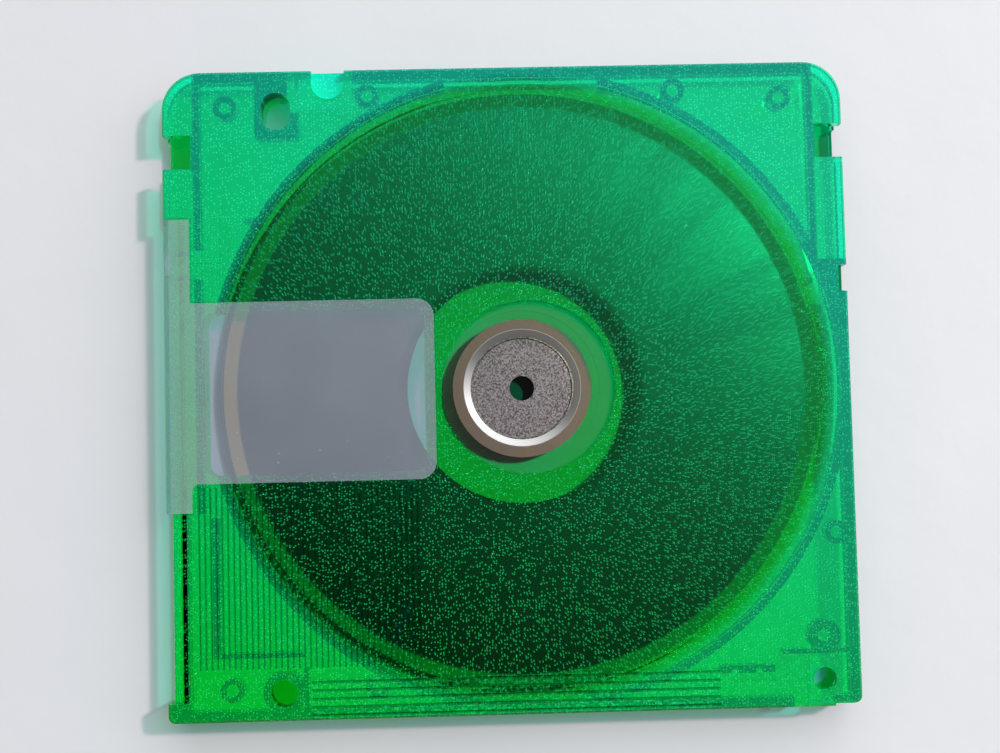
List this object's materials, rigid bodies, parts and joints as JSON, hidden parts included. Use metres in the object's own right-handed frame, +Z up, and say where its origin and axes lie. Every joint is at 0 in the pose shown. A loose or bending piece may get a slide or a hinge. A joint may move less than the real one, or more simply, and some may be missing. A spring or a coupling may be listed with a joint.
{
  "type": "recordable minidisc cartridge",
  "caption": "Flat translucent green disc cartridge, hub side up, with a clear sliding shutter, a loose clear disc with a steel clamping plate, a lock lever and a write-protect tab.",
  "frame": {"origin": "middle of the cartridge's outline, on the label side face that it lies on", "axes": "+X across the cartridge away from the shutter's spine, +Y towards the leading edge that enters the drive, +Z up out of the hub side"},
  "size_m": [0.072, 0.068, 0.005],
  "materials": {
    "green_shell": "translucent, fine sparkle grain",
    "clear_shutter": "clear, faintly milky",
    "clear_disc": "clear, polished",
    "film": "dark mirror with faint colours",
    "plate_steel": "satin",
    "green_parts": "translucent, satin"
  },
  "bodies": {
    "case": {"hub_side_shell": "green_shell", "label_side_shell": "green_shell"},
    "disc": {"disc_substrate": "clear_disc", "recording_film": "film", "clamping_plate": "plate_steel"},
    "sliding_shutter": {"shutter": "clear_shutter"},
    "lock": {"lock_lever": "green_parts"},
    "tab": {"write_protect_tab": "green_parts"}
  },
  "joints": [
    {"name": "disc_spin", "type": "hinge", "parent": "case", "child": "disc", "pos_m": [0.0014, 0, 0.00235], "axis": [0, 0, 1], "continuous": true},
    {"name": "shutter_slide", "type": "slide", "parent": "case", "child": "sliding_shutter", "axis": [0, -1, 0], "range_m": [0, 0.0195]},
    {"name": "lock_turn", "type": "hinge", "parent": "case", "child": "lock", "pos_m": [-0.0295, 0.0256, 0.0025], "axis": [0, 0, 1], "range_deg": [-7.6, 0]},
    {"name": "tab_slide", "type": "slide", "parent": "case", "child": "tab", "axis": [1, 0, 0], "range_m": [0, 0.0026]}
  ]
}
